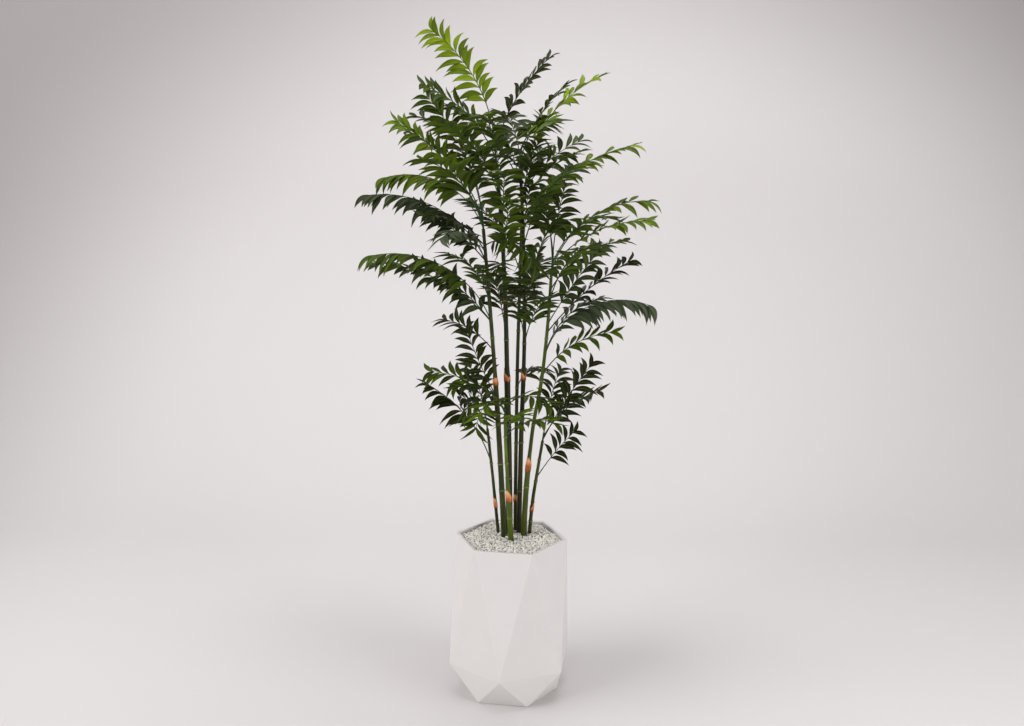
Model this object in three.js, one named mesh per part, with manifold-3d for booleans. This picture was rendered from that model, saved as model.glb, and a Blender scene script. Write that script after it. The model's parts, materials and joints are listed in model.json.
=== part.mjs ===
// Bamboo palm in a faceted planter: eight ringed canes carry pinnate fronds and stand in white gravel.
// Lengths are in millimetres and +Z is up. The viewer's side is -Y, and the origin is the middle of the
// planter's foot.

import * as THREE from 'three';
import Module from 'manifold-3d';
import { mergeVertices } from 'three/addons/utils/BufferGeometryUtils.js';

const wasm = await Module();
wasm.setup();

// Driving dimensions

const gap = 0.35; // air between neighbouring solids

const planter = {
  corners: 6,
  turn: -38.7, // degrees from -Y towards +X, to the first corner of the rim
  height: 445,
  footRadius: 136,
  shoulderRadius: 180,
  shoulderHeight: 96,
  rimRadius: 156,
  wall: 8,
  floor: 12,
};

const filling = {
  clearance: 1, // between the block and the planter's wall
  blockTop: 416,
  gravelTop: 431, // mean height of the stones' tops
  stoneRelief: 5, // how far the stones stand out of their mean
  stonePitch: 26,
  stoneSeed: 7,
  caneFoot: 250, // height at which the canes end, inside the block
};

const caneShape = {
  thinSides: 6,
  thickSides: 8,
  thickRadius: 7.5, // canes at least this thick at the foot are drawn rounder
  ringHalfHeight: 4,
  ringRise: 1.4,
  socketDepth: 22, // of the crown's stem in the cane's top
  stemShare: 0.55, // the crown stem's radius, as a share of the cane's
  stemTipRadius: 2.6,
  stemBeyond: 6, // how far the crown's stem runs past its last frond
};

const sheathShape = {
  wall: 1.9,
  waistAt: 0.3, // share of the height where the sleeve is widest
  waistRise: 0.7,
  mouthDraw: 0.3,
  slant: 0.45, // of the mouth, as a share of the height
};

const frondShape = {
  leafletPitch: 60, // along the rib; fewer and broader pairs than on the real frond
  leastPairs: 3,
  fullBlade: 240, // from this length of blade on, the leaflets have their full length
  leastShare: 0.78, // of the full length, that leaflets would keep on the shortest blade
  leafySpan: 0.88, // of the blade; the last pair grows at its end
  petioleRadius: 1.9,
  tipRadius: 1.1,
  ribRidge: 0.5, // height of the rib's flat top over its middle, in radii
  leafletLength: 78,
  leafletWidth: 22,
  leafletBase: 9, // along the rib
  bulgeAt: 0.45, // share of the length where a leaflet is widest
  bulgeShare: 0.7, // of the width, on the side towards the frond's tip
  sickle: 0.12, // how far the tip swings back, as a share of the length
  droop: 0.16, // how far the tip hangs down, as a share of the length
  shorterAtTip: 0.22,
  shorterAtRoot: 0.16,
  thickness: 0.9,
  spreadAtBase: 60, // degrees between rib and leaflet
  spreadAtTip: 38,
  holeSlack: 1.15, // of the hole in the cane, in petiole radii
  holeSides: 6,
  holeReach: 6, // in cane radii
};

// Each cane: its line as [x, y, z] points from the gravel up, [height, radius] pairs for its thickness,
// the heights of its rings, and its papery sheaths as [bottom, top].
const canes = {
  a: {
    line: [[-36, 50, 430], [-52, 45, 588], [-65, 40, 707], [-69, 38, 740]],
    thickness: [[430, 4.8], [740, 3.8]],
    rings: [640, 700],
    sheaths: [[508, 545]],
  },
  b: {
    line: [[-19, 15, 430], [-27, 12, 571], [-36, 8, 718], [-47, 4, 880], [-65, -4, 1102], [-82, -8, 1290]],
    thickness: [[430, 8.2], [880, 6.8], [900, 5.6], [1290, 4.4]],
    rings: [572, 648, 790, 1000, 1130],
    sheaths: [[868, 893]],
  },
  c: {
    line: [[0, -15, 430], [-8, -22, 560], [-17, -30, 695], [-20, -38, 800]],
    thickness: [[430, 7.8], [570, 7.2], [590, 4.6], [800, 4]],
    rings: [502, 660, 735],
    sheaths: [[548, 585]],
  },
  d: {
    line: [[-5, 38, 430], [-8, 36, 590], [-16, 32, 893], [-23, 30, 1100], [-35, 28, 1300], [-50, 25, 1460]],
    thickness: [[430, 10], [740, 9], [893, 8], [915, 6.6], [1460, 4.8]],
    rings: [600, 745, 990, 1230, 1360],
    sheaths: [[873, 912], [1094, 1106]],
  },
  e: {
    line: [[12, 65, 430], [11, 68, 545], [12, 73, 900], [16, 80, 1150], [20, 86, 1350]],
    thickness: [[430, 5.6], [1350, 4.2]],
    rings: [690, 850, 1010, 1170],
    sheaths: [[520, 545]],
  },
  f: {
    line: [[22, 46, 430], [25, 47, 718], [29, 48, 893], [30, 48, 1020], [24, 46, 1250], [13, 42, 1460]],
    thickness: [[430, 7], [893, 6.2], [915, 5.4], [1460, 4.2]],
    rings: [560, 700, 978, 1110, 1260, 1380],
    sheaths: [[875, 912]],
  },
  g: {
    line: [[35, 22, 430], [39, 20, 548], [46, 17, 647], [58, 12, 763], [77, 5, 882], [90, -3, 1020],
      [99, -8, 1180]],
    thickness: [[430, 8], [640, 7.4], [668, 5.4], [1180, 4]],
    rings: [580, 760, 882, 1000, 1100],
    sheaths: [[624, 667]],
  },
  h: {
    line: [[51, 41, 430], [59, 40, 530], [67, 38, 591], [75, 35, 647], [84, 30, 710]],
    thickness: [[430, 5.4], [710, 4]],
    rings: [474, 591, 655],
    sheaths: [[500, 532]],
  },
};

// Each frond: [height of its root on the cane, azimuth, rise at the root, rise at the tip, petiole, blade,
// roll about its rib, lift of its leaflets]. Angles are in degrees; azimuth runs from +X (0) over +Y (90).
// The fronds of a crown grow together from the stem that stands in the cane's top.
const crowns = {
  a: [
    [745, 228, 66, 20, 40, 115, -40, 8],
    [752, 120, 74, 30, 60, 150, -30, 8],
    [758, 262, 50, -40, 40, 160, 0, 0],
  ],
  b: [
    [1290, 182, 70, -22, 110, 225, 0, -45],
    [1298, 196, 70, 26, 135, 230, -60, 8],
    [1306, 226, 66, 4, 80, 205, 10, 8],
    [1314, 148, 68, 14, 110, 260, 20, 10],
    [1322, 108, 66, 6, 80, 240, 10, 8],
    [1330, 172, 80, 46, 130, 220, -80, 8],
  ],
  c: [
    [800, 250, 50, -30, 40, 170, 15, 0],
    [808, 220, 62, -10, 50, 150, -25, 8],
    [816, 318, 50, -30, 40, 140, 10, 0],
    [824, 215, 50, -60, 20, 130, 0, -10],
  ],
  d: [
    [1470, 205, 66, 14, 70, 220, -50, 8],
    [1478, 262, 50, -10, 60, 200, 0, 8],
    [1485, 176, 88, 32, 130, 255, -80, 6],
    [1500, 8, 74, 42, 70, 215, 15, 8],
  ],
  e: [
    [1360, 75, 60, 0, 90, 230, 0, 8],
    [1370, 110, 66, 12, 100, 260, 10, 8],
    [1380, 15, 62, 20, 60, 170, 40, 8],
    [1390, 158, 68, 20, 100, 250, 0, 8],
  ],
  f: [
    [1468, 318, 70, 30, 60, 190, 30, 8],
    [1476, 106, 62, 0, 60, 200, 10, 8],
    [1484, 66, 56, -10, 60, 190, 20, 8],
    [1492, 290, 40, -14, 60, 200, 20, 8],
  ],
  g: [
    [1184, 2, 74, -8, 105, 255, 15, -5],
    [1192, 344, 54, -4, 80, 225, 15, 0],
    [1200, 300, 56, -6, 80, 230, 0, 8],
    [1208, 95, 60, 6, 80, 220, 0, 8],
    [1216, 70, 80, 40, 60, 170, 30, 8],
    [1224, 252, 72, 10, 60, 180, 0, 8],
  ],
  h: [
    [712, 5, 64, 52, 60, 200, 75, 6],
    [720, 322, 60, 20, 60, 190, 30, 8],
    [728, 70, 66, 30, 70, 150, 10, 8],
  ],
};

// The other fronds stand in holes of their own in the canes. Those of one node grow from one root.
const sideFronds = {
  a: [[[640, 184, 74, 28, 110, 195, -20, -25]]],
  b: [
    [[838, 176, 60, 72, 50, 160, -110, 6], [838, 172, 36, 0, 35, 170, -40, 0]],
    [[1226, 222, 60, -10, 40, 200, -20, 0]],
    [[966, 148, 44, 2, 60, 125, -30, 20]],
    [
      [1044, 180, 50, 0, 80, 300, -10, -8],
      [1044, 190, 54, 22, 40, 220, -50, 0],
      [1044, 186, 70, -18, 120, 300, 0, -40],
    ],
    [[1182, 239, 72, -30, 70, 200, 0, -20]],
    [[1098, 236, 66, 4, 50, 200, 0, 0]],
    [[1204, 188, 66, -14, 110, 295, 0, -45], [1204, 192, 50, 26, 40, 200, -50, 0]],
    [[1246, 306, 24, -48, 40, 215, 0, -30]],
  ],
  c: [
    [[735, 285, 58, -6, 50, 170, 10, 8], [735, 345, 56, -20, 40, 120, 10, 0]],
  ],
  d: [
    [[990, 104, 62, 8, 90, 240, 0, 8]],
    [[1180, 274, 70, 6, 70, 250, 0, 8], [1180, 262, 30, -30, 50, 130, 0, 0]],
    [[1270, 272, 64, 0, 80, 245, 0, 8]],
    [[1360, 234, 68, 4, 80, 260, 10, 8], [1360, 266, 74, 10, 60, 180, 20, 0]],
    [[1400, 158, 66, 4, 90, 250, -20, 8]],
  ],
  e: [
    [[850, 60, 50, -40, 40, 150, 0, -10]],
    [[1010, 72, 62, 8, 90, 240, 10, 8]],
    [[1170, 130, 64, 10, 90, 250, 0, 8]],
    [[1270, 40, 64, 10, 90, 250, 10, 8]],
  ],
  f: [
    [[978, 288, 60, 4, 70, 240, 10, 8], [978, 256, 70, 10, 70, 160, 0, 0]],
    [[1050, 264, 56, -6, 80, 220, 0, 8], [1050, 298, 80, 46, 90, 200, 20, 8]],
    [[1240, 298, 66, 14, 80, 250, 20, 8], [1240, 276, 76, 30, 60, 150, 0, 0]],
    [[1320, 356, 54, 10, 100, 275, 20, -5]],
    [[1350, 320, 60, 10, 60, 190, 20, 8], [1350, 286, 76, 20, 60, 170, 0, 0]],
    [[1420, 356, 80, 22, 100, 260, 20, 10]],
  ],
  g: [
    [[900, 350, 60, 4, 60, 182, 30, 8]],
    [[950, 350, 76, -26, 110, 265, 0, -55], [950, 26, 76, 4, 60, 195, 0, 0]],
    [[1016, 14, 52, 26, 100, 215, 10, 8]],
    [[1040, 338, 60, 50, 66, 190, 70, 8]],
    [[1100, 292, 60, 4, 80, 240, 10, 8], [1100, 230, 40, -10, 50, 110, 0, 0]],
    [[1130, 20, 60, 0, 70, 200, 15, 6]],
  ],
  h: [[[600, 350, 60, 46, 70, 110, 60, 6]]],
};

// Shape tools

const radians = THREE.MathUtils.degToRad;
const lerp = THREE.MathUtils.lerp;

// A seeded draw between 0 and 1, so that the same stones lie the same way every time.
function seededDraw(seed) {
  let state = seed;
  return () => {
    state = (Math.imul(state, 1664525) + 1013904223) >>> 0;
    return state / 2 ** 32;
  };
}

// A closed solid from points and triangles, for joining and cutting.
function solidOf(points, triangles) {
  const mesh = new wasm.Mesh({
    numProp: 3,
    vertProperties: Float32Array.from(points.flatMap((point) => point.toArray())),
    triVerts: Uint32Array.from(triangles.flat()),
  });
  return new wasm.Manifold(mesh);
}

// The same from a three.js geometry.
function solidOfGeometry(geometry) {
  const plain = geometry.clone();
  plain.deleteAttribute('normal');
  plain.deleteAttribute('uv');
  const merged = mergeVertices(plain, 1e-4);
  const mesh = new wasm.Mesh({
    numProp: 3,
    vertProperties: Float32Array.from(merged.attributes.position.array),
    triVerts: Uint32Array.from(merged.index.array),
  });
  return new wasm.Manifold(mesh);
}

// A corner ring: count points round a centre, at an angle in degrees from -Y towards +X.
function cornerRing(center, radius, count, turn = 0) {
  return Array.from({ length: count }, (_, corner) => {
    const angle = radians(turn + (360 / count) * corner);
    return new THREE.Vector3(
      center.x + radius * Math.sin(angle),
      center.y - radius * Math.cos(angle),
      center.z,
    );
  });
}

// Rings stacked from the bottom up, closed at both ends; each side patch folds along its shorter diagonal.
function ringSolid(rings) {
  const count = rings[0].length;
  const points = rings.flat();
  const triangles = [];
  for (let level = 0; level + 1 < rings.length; level += 1) {
    for (let corner = 0; corner < count; corner += 1) {
      const next = (corner + 1) % count;
      const [a, b] = [level * count + corner, level * count + next];
      const [c, d] = [a + count, b + count];
      if (points[a].distanceTo(points[d]) < points[b].distanceTo(points[c])) {
        triangles.push([a, b, d], [a, d, c]);
      } else {
        triangles.push([a, b, c], [b, d, c]);
      }
    }
  }
  const top = (rings.length - 1) * count;
  for (let corner = 1; corner + 1 < count; corner += 1) {
    triangles.push([0, corner + 1, corner], [top, top + corner, top + corner + 1]);
  }
  return solidOf(points, triangles);
}

// A value from [height, value] pairs, level beyond both ends.
function stepped(pairs, height) {
  const after = pairs.findIndex(([at]) => at > height);
  if (after === 0) return pairs[0][1];
  if (after < 0) return pairs[pairs.length - 1][1];
  const [[low, from], [high, to]] = [pairs[after - 1], pairs[after]];
  return lerp(from, to, (height - low) / (high - low));
}

// The middle of a cane at a height: a smooth curve through its line, straight on beyond both ends.
function lineAt(line, height) {
  const slope = (index, axis) => {
    const [low, high] = [line[Math.max(index - 1, 0)], line[Math.min(index + 1, line.length - 1)]];
    return (high[axis] - low[axis]) / (high[2] - low[2]);
  };
  const last = line.length - 1;
  if (height <= line[0][2] || height >= line[last][2]) {
    const end = height <= line[0][2] ? 0 : last;
    const [x, y, z] = line[end];
    const rise = height - z;
    return new THREE.Vector3(x + slope(end, 0) * rise, y + slope(end, 1) * rise, height);
  }
  const start = line.findIndex((point) => point[2] > height) - 1;
  const [from, to] = [line[start], line[start + 1]];
  const span = to[2] - from[2];
  const u = (height - from[2]) / span;
  const blend = (axis) =>
    (2 * u ** 3 - 3 * u ** 2 + 1) * from[axis] +
    (u ** 3 - 2 * u ** 2 + u) * span * slope(start, axis) +
    (3 * u ** 2 - 2 * u ** 3) * to[axis] +
    (u ** 3 - u ** 2) * span * slope(start + 1, axis);
  return new THREE.Vector3(blend(0), blend(1), height);
}

// Planter and filling

// The faceted body: three hexagons, the middle one turned by half a corner, so that its sides are triangles.
function facetedBody(inset, bottom, top) {
  const { corners, turn, height, shoulderHeight } = planter;
  const radiusInset = inset / Math.cos(Math.PI / corners);
  const ring = (radius, z, halfTurn) =>
    cornerRing(new THREE.Vector3(0, 0, z), radius - radiusInset, corners, turn + halfTurn);
  const rings = [
    ring(planter.footRadius, bottom, 0),
    ring(planter.shoulderRadius, shoulderHeight, 180 / corners),
    ring(planter.rimRadius, height, 0),
  ];
  if (top > height) rings.push(ring(planter.rimRadius, top, 0));
  return ringSolid(rings);
}

function makePlanter() {
  const overshoot = 5;
  const cavity = facetedBody(planter.wall, planter.floor, planter.height + overshoot);
  return facetedBody(0, 0, planter.height).subtract(cavity);
}

// A slab over the planter's whole width, between two heights, for trimming what fills it.
function slab(bottom, top) {
  const width = 2 * planter.shoulderRadius;
  const box = new THREE.BoxGeometry(width, width, top - bottom);
  box.translate(0, 0, (top + bottom) / 2);
  return solidOfGeometry(box);
}

function fillingBody() {
  return facetedBody(planter.wall + filling.clearance, planter.floor + filling.clearance, planter.height);
}

function makeBlock() {
  return fillingBody().intersect(slab(0, filling.blockTop));
}

// The stones lie in one layer, whose top is raised into small humps.
function makeGravel() {
  const { stonePitch, stoneRelief, gravelTop, blockTop, stoneSeed } = filling;
  const cells = 2 * Math.ceil(planter.shoulderRadius / stonePitch);
  const width = cells * stonePitch;
  const top = new THREE.BoxGeometry(width, width, gravelTop - blockTop, cells, cells, 1);
  top.translate(0, 0, (gravelTop + blockTop) / 2);
  const draw = seededDraw(stoneSeed);
  const heights = new Map();
  const position = top.attributes.position;
  for (let index = 0; index < position.count; index += 1) {
    const [x, y, z] = [position.getX(index), position.getY(index), position.getZ(index)];
    const key = `${Math.round(x)},${Math.round(y)}`;
    if (!heights.has(key)) heights.set(key, (draw() - 0.5) * 2 * stoneRelief);
    if (z > gravelTop - 1) position.setZ(index, z + heights.get(key));
    else position.setZ(index, z + gap);
  }
  return fillingBody().intersect(solidOfGeometry(top));
}

// Canes

function caneSides(cane) {
  const thick = cane.thickness[0][1] >= caneShape.thickRadius;
  return thick ? caneShape.thickSides : caneShape.thinSides;
}

function caneRings(cane, bottom, top, extra) {
  const { ringHalfHeight, ringRise } = caneShape;
  const levels = new Map([[bottom, 0], [top, 0]]);
  for (const [height] of cane.thickness) levels.set(height, 0);
  for (const point of cane.line) levels.set(point[2], 0);
  for (const height of cane.rings) {
    for (const level of levels.keys()) {
      if (Math.abs(level - height) < 2 * ringHalfHeight) levels.delete(level);
    }
    levels.set(height - ringHalfHeight, 0).set(height, ringRise).set(height + ringHalfHeight, 0);
  }
  return [...levels.keys()]
    .filter((height) => height >= bottom && height <= top)
    .sort((low, high) => low - high)
    .map((height) => {
      const radius = stepped(cane.thickness, height) + levels.get(height) + extra;
      return cornerRing(lineAt(cane.line, height), radius, caneSides(cane));
    });
}

const caneTop = (cane) => cane.line[cane.line.length - 1][2];
const caneSolid = (cane) => ringSolid(caneRings(cane, filling.caneFoot, caneTop(cane), 0));
const caneHole = (cane) => ringSolid(caneRings(cane, filling.caneFoot - gap, caneTop(cane) + gap, gap));

// The thin stem that carries a crown stands in a socket in the cane's top.
function crownStem(cane, top, extra) {
  const { socketDepth, stemShare, stemTipRadius, thinSides } = caneShape;
  const foot = caneTop(cane) - socketDepth - extra;
  const radius = stemShare * stepped(cane.thickness, caneTop(cane)) + extra;
  const ring = (height, size) => cornerRing(lineAt(cane.line, height), size, thinSides);
  const taperStart = caneTop(cane) + gap;
  const tip = Math.min(stemTipRadius, radius);
  return ringSolid([ring(foot, radius), ring(taperStart, radius), ring(top, tip)]);
}

// A papery sheath: a sleeve round the cane, with its mouth cut on a slant to a short point.
function makeSheath(cane, [bottom, top]) {
  const { wall, waistAt, waistRise, mouthDraw, slant } = sheathShape;
  const sides = caneSides(cane);
  const radius = stepped(cane.thickness, bottom) + wall;
  const ring = (height, size) => cornerRing(lineAt(cane.line, height), size, sides);
  const mouth = ring(top, radius - mouthDraw);
  mouth.forEach((point, corner) => {
    point.z -= slant * (top - bottom) * Math.sin((Math.PI * corner) / sides) ** 2;
  });
  const waist = ring(lerp(bottom, top, waistAt), radius + waistRise);
  return ringSolid([ring(bottom, radius), waist, mouth]).subtract(caneHole(cane));
}

// Fronds

function frondOf(cane, row) {
  const [height, azimuth, rise, fall, petiole, blade, roll, lift] = row;
  return { root: lineAt(cane.line, height), azimuth, rise, fall, petiole, blade, roll, lift };
}

// The rib's line: it leaves the root at one rise, ends at another, and turns evenly between them.
function ribFrames(frond, distances) {
  const step = 5;
  const length = frond.petiole + frond.blade;
  const heading = radians(frond.azimuth);
  const level = new THREE.Vector3(-Math.sin(heading), Math.cos(heading), 0);
  const frameAt = (distance, point) => {
    const rise = radians(lerp(frond.rise, frond.fall, distance / length));
    const along = new THREE.Vector3(
      Math.cos(rise) * Math.cos(heading),
      Math.cos(rise) * Math.sin(heading),
      Math.sin(rise),
    );
    const upright = along.clone().cross(level);
    const roll = radians(frond.roll);
    const side = level.clone().multiplyScalar(Math.cos(roll)).addScaledVector(upright, Math.sin(roll));
    const up = upright.clone().multiplyScalar(Math.cos(roll)).addScaledVector(level, -Math.sin(roll));
    return { point, along, side, up };
  };
  const frames = [];
  let walked = 0;
  let point = frond.root.clone();
  for (const distance of distances) {
    while (walked < distance) {
      const stride = Math.min(step, distance - walked);
      const { along } = frameAt(walked + stride / 2, point);
      point = point.clone().addScaledVector(along, stride);
      walked += stride;
    }
    frames.push(frameAt(distance, point));
  }
  return frames;
}

// Leaflets are longest a little before the middle of the blade; the share runs from its foot to its tip.
function lengthOfLeaflet(share, scale) {
  const { leafletLength, shorterAtTip, shorterAtRoot } = frondShape;
  return scale * leafletLength * (1 - shorterAtTip * share ** 2 - shorterAtRoot * (1 - share) ** 3);
}

// The rib is a three-sided bar. Each leaflet grows out of one side of it as a thin sickle blade.
function frondSolid(frond) {
  const { petioleRadius, tipRadius, ribRidge, leafletBase, leafletWidth, thickness } = frondShape;
  const { leastPairs, leafletPitch, leastShare, fullBlade } = frondShape;
  const { petiole, blade } = frond;
  const scale = Math.min(1, lerp(leastShare, 1, blade / fullBlade));
  const span = frondShape.leafySpan * blade;
  const pairs = Math.max(leastPairs, Math.round(span / leafletPitch));
  const distances = [0, petiole / 2];
  const pitch = span / (pairs - 1);
  for (let pair = 0; pair < pairs; pair += 1) {
    distances.push(petiole + pair * pitch, petiole + pair * pitch + leafletBase);
  }
  const firstLeaf = 2;
  const points = [];
  const triangles = [];
  const frames = ribFrames(frond, distances);
  frames.forEach(({ point, side, up }, index) => {
    const radius = lerp(petioleRadius, tipRadius, distances[index] / (petiole + blade));
    points.push(
      point.clone().addScaledVector(side, radius).addScaledVector(up, ribRidge * radius),
      point.clone().addScaledVector(side, -radius).addScaledVector(up, ribRidge * radius),
      point.clone().addScaledVector(up, -radius),
    );
  });
  const corner = (index, which) => 3 * index + which; // 0 left, 1 right, 2 keel
  for (let index = 0; index + 1 < frames.length; index += 1) {
    const [left, right, keel] = [0, 1, 2].map((which) => corner(index, which));
    const [nextLeft, nextRight, nextKeel] = [0, 1, 2].map((which) => corner(index + 1, which));
    triangles.push([left, right, nextRight], [left, nextRight, nextLeft]);
    const share = (distances[index] - petiole) / span;
    const leafy = index >= firstLeaf && (index - firstLeaf) % 2 === 0;
    if (!leafy) {
      triangles.push([keel, left, nextLeft], [keel, nextLeft, nextKeel]);
      triangles.push([right, keel, nextKeel], [right, nextKeel, nextRight]);
      continue;
    }
    const middle = frames[index].point.clone().lerp(frames[index + 1].point, 0.5);
    const { along, side, up } = frames[index];
    const spread = radians(lerp(frondShape.spreadAtBase, frondShape.spreadAtTip, share));
    const length = lengthOfLeaflet(share, scale);
    for (const hand of [1, -1]) {
      const lift = radians(frond.lift);
      const out = side.clone().multiplyScalar(hand * Math.cos(lift)).addScaledVector(up, Math.sin(lift));
      const reach = along.clone().multiplyScalar(Math.cos(spread)).addScaledVector(out, Math.sin(spread));
      const across = along.clone().multiplyScalar(-Math.sin(spread)).addScaledVector(out, Math.cos(spread));
      const normal = along.clone().cross(out).multiplyScalar(hand);
      const tip = middle.clone().addScaledVector(reach, length);
      tip.addScaledVector(across, frondShape.sickle * length);
      tip.z -= frondShape.droop * length;
      const bulge = middle.clone().addScaledVector(reach, frondShape.bulgeAt * length);
      bulge.addScaledVector(across, -frondShape.bulgeShare * scale * leafletWidth);
      const base = points.length;
      points.push(
        bulge.clone().addScaledVector(normal, thickness / 2),
        bulge.clone().addScaledVector(normal, -thickness / 2),
        tip,
      );
      const [bulgeTop, bulgeUnder, point] = [base, base + 1, base + 2];
      const [edge, nextEdge] = hand > 0 ? [left, nextLeft] : [right, nextRight];
      const faces = [
        [edge, nextEdge, point],
        [nextEdge, bulgeTop, point],
        [keel, point, nextKeel],
        [nextKeel, point, bulgeUnder],
        [edge, point, keel],
        [nextEdge, nextKeel, bulgeUnder],
        [nextEdge, bulgeUnder, bulgeTop],
        [bulgeTop, bulgeUnder, point],
      ];
      for (const [a, b, c] of faces) triangles.push(hand > 0 ? [a, b, c] : [a, c, b]);
    }
  }
  const last = frames.length - 1;
  triangles.push([corner(0, 0), corner(0, 2), corner(0, 1)]);
  triangles.push([corner(last, 0), corner(last, 1), corner(last, 2)]);
  return solidOf(points, triangles);
}

// The hole in a cane for the foot of a frond.
function frondHole(cane, row) {
  const { petioleRadius, holeSlack, holeSides, holeReach } = frondShape;
  const reach = holeReach * stepped(cane.thickness, row[0]);
  const radius = (holeSlack * petioleRadius + gap) / Math.cos(Math.PI / holeSides);
  const frames = ribFrames(frondOf(cane, row), [0, reach / 2, reach]);
  frames[0].point = frames[0].point.addScaledVector(frames[0].along, -gap);
  const rings = frames.map(({ point, side, up }) =>
    Array.from({ length: holeSides }, (_, index) => {
      const angle = (2 * Math.PI * index) / holeSides;
      const across = side.clone().multiplyScalar(radius * Math.sin(angle));
      return point.clone().add(across).addScaledVector(up, -radius * Math.cos(angle));
    }),
  );
  return ringSolid(rings);
}

// Assembly

const finishes = {
  planter: { color: 0xe9e7e4, roughness: 0.45 },
  block: { color: 0x5a4a3a, roughness: 0.95 },
  gravel: { color: 0xdedcd4, roughness: 0.85 },
  cane: { color: 0x3c5a24, roughness: 0.5 },
  sheath: { color: 0xc87845, roughness: 0.7 },
  leaf: { color: 0x3f6b22, roughness: 0.4 },
};

const plant = new THREE.Group();

function addPart(name, solid, finish) {
  const { vertProperties, triVerts } = solid.getMesh();
  const geometry = new THREE.BufferGeometry();
  geometry.setAttribute('position', new THREE.BufferAttribute(vertProperties, 3));
  geometry.setIndex(new THREE.BufferAttribute(triVerts, 1));
  geometry.computeVertexNormals();
  const material = new THREE.MeshStandardMaterial({ ...finishes[finish], metalness: 0 });
  const mesh = new THREE.Mesh(geometry, material);
  mesh.name = name;
  plant.add(mesh);
}

const everyCane = Object.entries(canes);
const holes = everyCane.map(([, cane]) => caneHole(cane));
const drill = (solid) => holes.reduce((rest, hole) => rest.subtract(hole), solid);

addPart('planter', makePlanter(), 'planter');
addPart('filling_block', drill(makeBlock()), 'block');
addPart('gravel', drill(makeGravel()), 'gravel');

for (const [letter, cane] of everyCane) {
  const rows = crowns[letter];
  const stemTop = Math.max(...rows.map(([height]) => height)) + caneShape.stemBeyond;
  let body = caneSolid(cane).subtract(crownStem(cane, stemTop, gap));
  (sideFronds[letter] ?? []).forEach((twins, index) => {
    body = twins.reduce((rest, row) => rest.subtract(frondHole(cane, row)), body);
    const [frond, ...others] = twins.map((row) => frondSolid(frondOf(cane, row)));
    const whole = others.reduce((joined, other) => joined.add(other), frond);
    addPart(`frond_${letter}${index + 1}`, whole, 'leaf');
  });
  addPart(`cane_${letter}`, body, 'cane');
  cane.sheaths.forEach((span, index) => {
    addPart(`sheath_${letter}${index + 1}`, makeSheath(cane, span), 'sheath');
  });
  const crown = rows.reduce(
    (joined, row) => joined.add(frondSolid(frondOf(cane, row))),
    crownStem(cane, stemTop, 0),
  );
  addPart(`crown_${letter}`, crown, 'leaf');
}

export default plant;
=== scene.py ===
# A bamboo palm in a white faceted planter. Sizes are in millimetres unless a note says otherwise.
# The viewer's side is -Y, +Z is up, and the origin is the middle of the planter's foot.

import json
import math
import random

import bmesh
import bpy
from mathutils import Matrix, Vector, noise

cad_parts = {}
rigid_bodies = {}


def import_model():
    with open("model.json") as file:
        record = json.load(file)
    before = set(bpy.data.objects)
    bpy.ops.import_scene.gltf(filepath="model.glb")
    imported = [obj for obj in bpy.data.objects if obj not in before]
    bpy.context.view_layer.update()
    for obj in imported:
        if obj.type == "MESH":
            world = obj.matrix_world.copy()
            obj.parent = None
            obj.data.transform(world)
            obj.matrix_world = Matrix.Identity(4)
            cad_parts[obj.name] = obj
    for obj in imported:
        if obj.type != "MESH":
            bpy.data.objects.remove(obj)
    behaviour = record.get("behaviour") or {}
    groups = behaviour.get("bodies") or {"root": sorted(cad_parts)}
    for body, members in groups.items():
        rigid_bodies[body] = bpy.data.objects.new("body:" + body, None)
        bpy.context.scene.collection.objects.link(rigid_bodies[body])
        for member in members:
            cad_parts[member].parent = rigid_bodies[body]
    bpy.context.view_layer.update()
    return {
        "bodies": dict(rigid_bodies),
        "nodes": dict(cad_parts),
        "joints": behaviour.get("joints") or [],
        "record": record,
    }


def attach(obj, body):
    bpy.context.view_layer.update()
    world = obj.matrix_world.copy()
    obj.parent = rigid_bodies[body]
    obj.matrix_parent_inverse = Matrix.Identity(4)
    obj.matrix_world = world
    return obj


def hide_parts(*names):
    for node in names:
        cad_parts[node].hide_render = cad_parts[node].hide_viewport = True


mm = 0.001
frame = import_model()
root = "root"
print("frame loaded:", len(frame["nodes"]), "nodes")


# Small tools

def linear(hexCode):
    channels = [int(hexCode[i:i + 2], 16) / 255 for i in (1, 3, 5)]
    return [c / 12.92 if c <= 0.04045 else ((c + 0.055) / 1.055) ** 2.4 for c in channels] + [1.0]


def perMm(size):  # a texture's scale, for features of this many millimetres
    return 1 / (size * mm)


def mix(a, b, share):
    return a + (b - a) * share


def clamp(value):
    return max(0.0, min(1.0, value))


def connect(material, node, links):
    for socket, value in links.items():
        if isinstance(value, bpy.types.NodeSocket):
            material.node_tree.links.new(value, node.inputs[socket])
        else:
            node.inputs[socket].default_value = value


# Adds a node and gives the output asked for. A Mix has its colours in sockets 6 and 7, and gives output 2.
def addNode(material, kind, links=None, output=0, stops=(), **settings):
    node = material.node_tree.nodes.new("ShaderNode" + kind)
    for name, value in settings.items():
        setattr(node, name, value)
    for place, _ in stops[2:]:
        node.color_ramp.elements.new(place)
    for i, (place, colour) in enumerate(stops):
        node.color_ramp.elements[i].position = place
        node.color_ramp.elements[i].color = linear(colour)
    connect(material, node, links or {})
    return node.outputs[output]


def patches(material, size, detail=3.0, stretch=(1, 1, 1)):  # soft noise, patches of so many mm
    place = addNode(material, "TexCoord", output="Object")
    scaled = addNode(material, "Mapping", {"Vector": place, "Scale": stretch})
    return addNode(material, "TexNoise", {"Vector": scaled, "Scale": perMm(size), "Detail": detail})


def newMaterial(name, roughness, ior=1.5):
    material = bpy.data.materials.new(name)
    material.use_nodes = True
    shader = material.node_tree.nodes["Principled BSDF"]
    connect(material, shader, {"Roughness": roughness, "IOR": ior})
    return material, shader


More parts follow.
